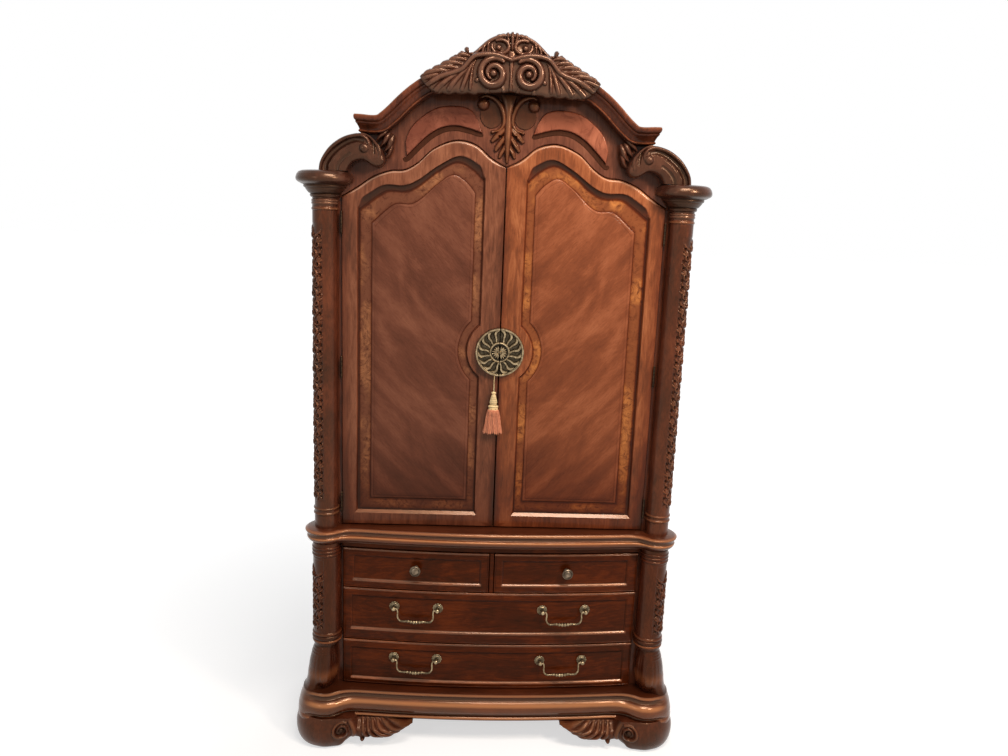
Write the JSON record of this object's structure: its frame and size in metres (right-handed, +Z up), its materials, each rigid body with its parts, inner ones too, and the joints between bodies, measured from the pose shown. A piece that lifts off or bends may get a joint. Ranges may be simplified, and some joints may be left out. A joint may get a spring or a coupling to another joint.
{
  "type": "tv armoire",
  "caption": "Tall armoire with arched panelled doors between round columns, a curved cornice with a carved crest, and a bow-front chest of drawers on carved scroll feet.",
  "frame": {"origin": "centre of the bounding box in plan, on the floor", "axes": "+X to the viewer's right, +Y from the front to the back, +Z up"},
  "size_m": [1.274, 0.642, 2.2503],
  "materials": {
    "case_wood": "dark reddish-brown stained wood, semi-gloss lacquer",
    "carved_wood": "dark brown carved wood with darker glaze in the hollows, semi-gloss lacquer",
    "veneer_wood": "reddish-brown figured veneer with lighter crossbanding, semi-gloss lacquer",
    "interior_wood": "plain light brown wood, satin",
    "antique_brass": "aged dark brass, worn bright on the raised parts",
    "silk": "twisted silk cord and cream and salmon-pink fringe"
  },
  "bodies": {
    "carcass": {"base_board": "case_wood", "waist_top": "case_wood", "foot_front_right": "carved_wood", "foot_front_left": "carved_wood", "base_side_right": "case_wood", "base_side_left": "case_wood", "base_back": "interior_wood", "dust_frame_upper": "interior_wood", "dust_frame_lower": "interior_wood", "pilaster_right": "carved_wood", "pilaster_left": "carved_wood", "column_right": "carved_wood", "column_left": "carved_wood", "cabinet_side_right": "case_wood", "cabinet_side_left": "case_wood", "cabinet_deck": "interior_wood", "cabinet_top": "interior_wood", "shelf": "interior_wood", "cabinet_back": "interior_wood", "hinge_left_bottom": "antique_brass", "hinge_right_bottom": "antique_brass", "hinge_left_middle": "antique_brass", "hinge_right_middle": "antique_brass", "hinge_left_top": "antique_brass", "hinge_right_top": "antique_brass", "tympanum": "case_wood", "cornice": "case_wood", "arm_right": "carved_wood", "arm_left": "carved_wood", "crest": "carved_wood"},
    "door_left": {"door_frame_left": "veneer_wood", "door_panel_left": "veneer_wood", "medallion_left": "antique_brass"},
    "door_right": {"door_frame_right": "veneer_wood", "door_panel_right": "veneer_wood", "medallion_right": "antique_brass"},
    "tassel_on_cord": {"tassel_cord": "silk", "tassel": "silk"},
    "drawer_upper_left": {"drawer_front_upper_left": "veneer_wood", "drawer_box_upper_left": "interior_wood", "knob_left": "antique_brass"},
    "drawer_upper_right": {"drawer_front_upper_right": "veneer_wood", "drawer_box_upper_right": "interior_wood", "knob_right": "antique_brass"},
    "drawer_middle": {"drawer_front_middle": "veneer_wood", "drawer_box_middle": "interior_wood", "pull_post_middle_left_outer": "antique_brass", "pull_post_middle_left_inner": "antique_brass", "pull_post_middle_right_outer": "antique_brass", "pull_post_middle_right_inner": "antique_brass"},
    "drawer_bottom": {"drawer_front_bottom": "veneer_wood", "drawer_box_bottom": "interior_wood", "pull_post_bottom_left_outer": "antique_brass", "pull_post_bottom_left_inner": "antique_brass", "pull_post_bottom_right_outer": "antique_brass", "pull_post_bottom_right_inner": "antique_brass"},
    "bail_middle_left": {"bail_middle_left": "antique_brass"},
    "bail_middle_right": {"bail_middle_right": "antique_brass"},
    "bail_bottom_left": {"bail_bottom_left": "antique_brass"},
    "bail_bottom_right": {"bail_bottom_right": "antique_brass"}
  },
  "joints": [
    {"name": "door_left_hinge", "type": "hinge", "parent": "carcass", "child": "door_left", "pos_m": [-0.4885, -0.2145, 0.751], "axis": [0, 0, -1], "range_deg": [0, 90]},
    {"name": "door_right_hinge", "type": "hinge", "parent": "carcass", "child": "door_right", "pos_m": [0.4885, -0.2145, 0.751], "axis": [0, 0, 1], "range_deg": [0, 90]},
    {"name": "tassel_swing", "type": "hinge", "parent": "door_left", "child": "tassel_on_cord", "pos_m": [-0.014, -0.225, 1.254], "axis": [-1, 0, 0], "range_deg": [0, 60]},
    {"name": "drawer_upper_left_slide", "type": "slide", "parent": "carcass", "child": "drawer_upper_left", "axis": [0, -1, 0], "range_m": [0, 0.36]},
    {"name": "drawer_upper_right_slide", "type": "slide", "parent": "carcass", "child": "drawer_upper_right", "axis": [0, -1, 0], "range_m": [0, 0.36]},
    {"name": "drawer_middle_slide", "type": "slide", "parent": "carcass", "child": "drawer_middle", "axis": [0, -1, 0], "range_m": [0, 0.36]},
    {"name": "drawer_bottom_slide", "type": "slide", "parent": "carcass", "child": "drawer_bottom", "axis": [0, -1, 0], "range_m": [0, 0.36]},
    {"name": "bail_middle_left_hinge", "type": "hinge", "parent": "drawer_middle", "child": "bail_middle_left", "pos_m": [-0.24424, -0.252, 0.474], "axis": [-0.9981, 0.0621, 0], "range_deg": [0, 90]},
    {"name": "bail_middle_right_hinge", "type": "hinge", "parent": "drawer_middle", "child": "bail_middle_right", "pos_m": [0.24424, -0.252, 0.474], "axis": [-0.9981, -0.0621, 0], "range_deg": [0, 90]},
    {"name": "bail_bottom_left_hinge", "type": "hinge", "parent": "drawer_bottom", "child": "bail_bottom_left", "pos_m": [-0.24424, -0.252, 0.2909], "axis": [-0.9981, 0.0621, 0], "range_deg": [0, 90]},
    {"name": "bail_bottom_right_hinge", "type": "hinge", "parent": "drawer_bottom", "child": "bail_bottom_right", "pos_m": [0.24424, -0.252, 0.2909], "axis": [-0.9981, -0.0621, 0], "range_deg": [0, 90]}
  ]
}
